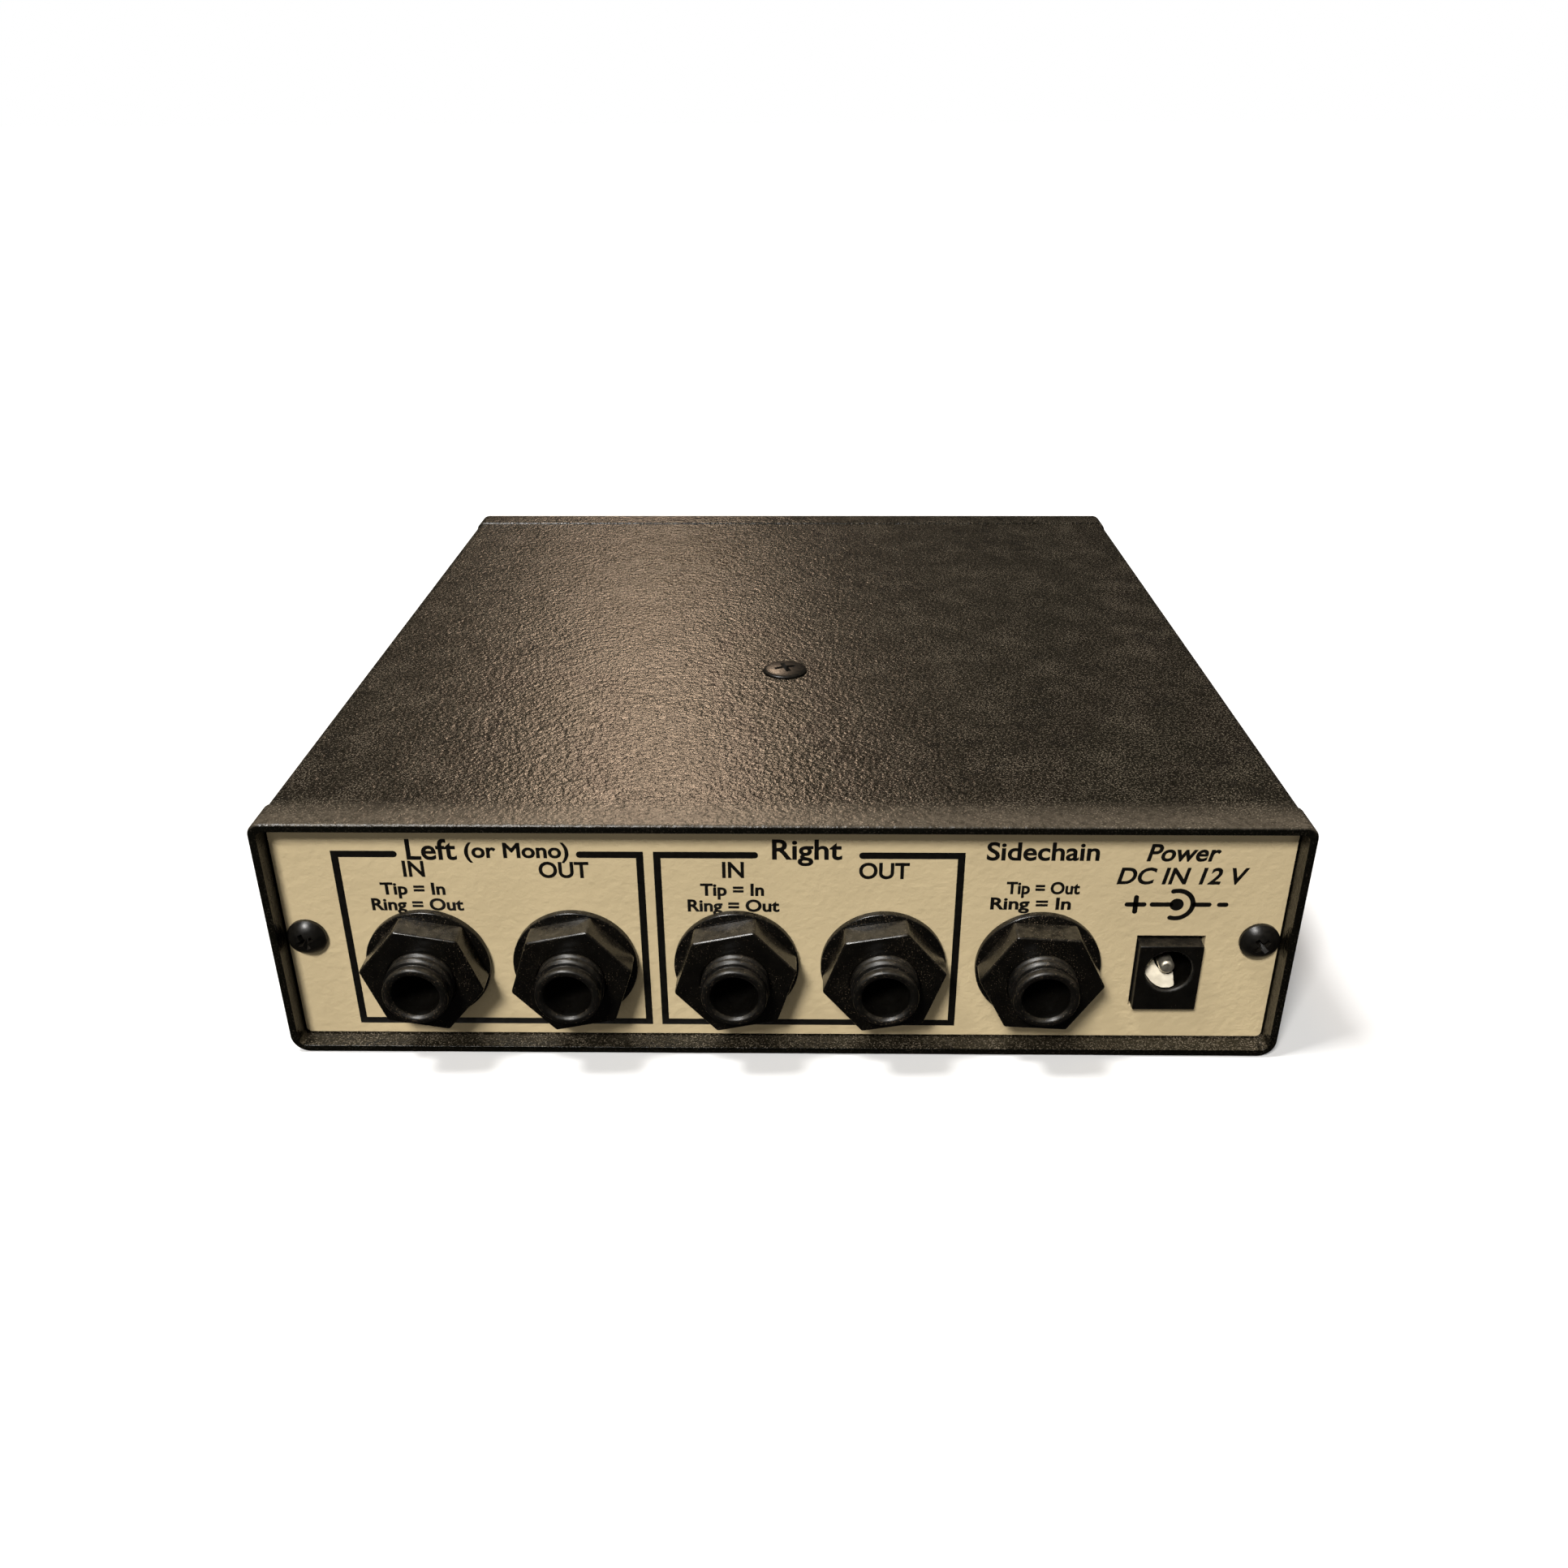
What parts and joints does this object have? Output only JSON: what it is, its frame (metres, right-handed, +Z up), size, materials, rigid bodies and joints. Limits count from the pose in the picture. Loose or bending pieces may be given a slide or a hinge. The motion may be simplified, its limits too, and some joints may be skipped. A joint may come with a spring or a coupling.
{
  "type": "rack effects unit",
  "caption": "Third-rack-width audio effects unit: moulded tube case with recessed panels, jack sockets and power socket at the rear, knobs and push buttons at the front.",
  "frame": {"origin": "under the middle of the case, at the level it stands on", "axes": "+Z up, -Y out of the socket panel (the side pictured), +Y out of the control panel, +X to the right seen from the socket side"},
  "size_m": [0.14, 0.156, 0.0376],
  "materials": {
    "case_plastic": "fine pebble texture, satin",
    "panel_paint": "powder coat, fine orange peel",
    "black_paint": "black, satin",
    "plated_brass": "nickel plated",
    "plated_steel": "bright plated",
    "circuit_board": "green solder mask",
    "jack_plastic": "semi-gloss moulded",
    "socket_plastic": "satin moulded",
    "light_lens": "tinted clear",
    "chip_plastic": "matt",
    "capacitor_can": "sleeved can",
    "contact_metal": "plated spring strip",
    "pot_metal": "zinc plated",
    "shaft_metal": "turned",
    "knob_plastic": "satin moulded",
    "switch_plastic": "moulded",
    "button_plastic": "semi-gloss moulded"
  },
  "bodies": {
    "unit": {"case_sleeve": "case_plastic", "rear_panel": "panel_paint", "front_panel": "panel_paint", "rear_panel_screws": "black_paint", "front_panel_screws": "black_paint", "top_screw": "black_paint", "top_standoff": "plated_brass", "standoff_screw": "plated_steel", "main_board": "circuit_board", "jack_nuts": "jack_plastic", "jack_washers": "jack_plastic", "power_jack_housing": "socket_plastic", "power_jack_pin": "plated_steel", "power_jack_spring": "plated_steel", "pot_nuts": "plated_steel", "pot_washers": "plated_steel", "meter_lights": "light_lens", "status_lights": "light_lens", "light_legs": "plated_steel", "chips": "chip_plastic", "capacitors": "capacitor_can", "regulator": "chip_plastic", "jack_1_housing": "jack_plastic", "jack_1_contacts": "contact_metal", "jack_2_housing": "jack_plastic", "jack_2_contacts": "contact_metal", "jack_3_housing": "jack_plastic", "jack_3_contacts": "contact_metal", "jack_4_housing": "jack_plastic", "jack_4_contacts": "contact_metal", "jack_5_housing": "jack_plastic", "jack_5_contacts": "contact_metal", "threshold_pot_housing": "pot_metal", "ratio_pot_housing": "pot_metal", "attack_pot_housing": "pot_metal", "release_pot_housing": "pot_metal", "level_pot_housing": "pot_metal", "bypass_switch_housing": "switch_plastic", "mode_switch_housing": "switch_plastic"},
    "threshold_control": {"threshold_knob": "knob_plastic", "threshold_shaft": "shaft_metal"},
    "ratio_control": {"ratio_knob": "knob_plastic", "ratio_shaft": "shaft_metal"},
    "attack_control": {"attack_knob": "knob_plastic", "attack_shaft": "shaft_metal"},
    "release_control": {"release_knob": "knob_plastic", "release_shaft": "shaft_metal"},
    "level_control": {"level_knob": "knob_plastic", "level_shaft": "shaft_metal"},
    "bypass_button": {"bypass_cap": "button_plastic", "bypass_plunger": "button_plastic"},
    "mode_button": {"mode_cap": "button_plastic", "mode_plunger": "button_plastic"}
  },
  "joints": [
    {"name": "threshold_turn", "type": "hinge", "parent": "unit", "child": "threshold_control", "pos_m": [0.05, 0.0725, 0.01485], "axis": [0, 1, 0], "range_deg": [-150, 150]},
    {"name": "ratio_turn", "type": "hinge", "parent": "unit", "child": "ratio_control", "pos_m": [0.029, 0.0725, 0.01485], "axis": [0, 1, 0], "range_deg": [-150, 150]},
    {"name": "attack_turn", "type": "hinge", "parent": "unit", "child": "attack_control", "pos_m": [0.008, 0.0725, 0.01485], "axis": [0, 1, 0], "range_deg": [-150, 150]},
    {"name": "release_turn", "type": "hinge", "parent": "unit", "child": "release_control", "pos_m": [-0.013, 0.0725, 0.01485], "axis": [0, 1, 0], "range_deg": [-150, 150]},
    {"name": "level_turn", "type": "hinge", "parent": "unit", "child": "level_control", "pos_m": [-0.034, 0.0725, 0.01485], "axis": [0, 1, 0], "range_deg": [-150, 150]},
    {"name": "bypass_press", "type": "slide", "parent": "unit", "child": "bypass_button", "axis": [0, -1, 0], "range_m": [0, 0.0025], "stiffness_N_per_m": 400, "springref_m": -0.002},
    {"name": "mode_press", "type": "slide", "parent": "unit", "child": "mode_button", "axis": [0, -1, 0], "range_m": [0, 0.0025], "stiffness_N_per_m": 400, "springref_m": -0.002}
  ]
}
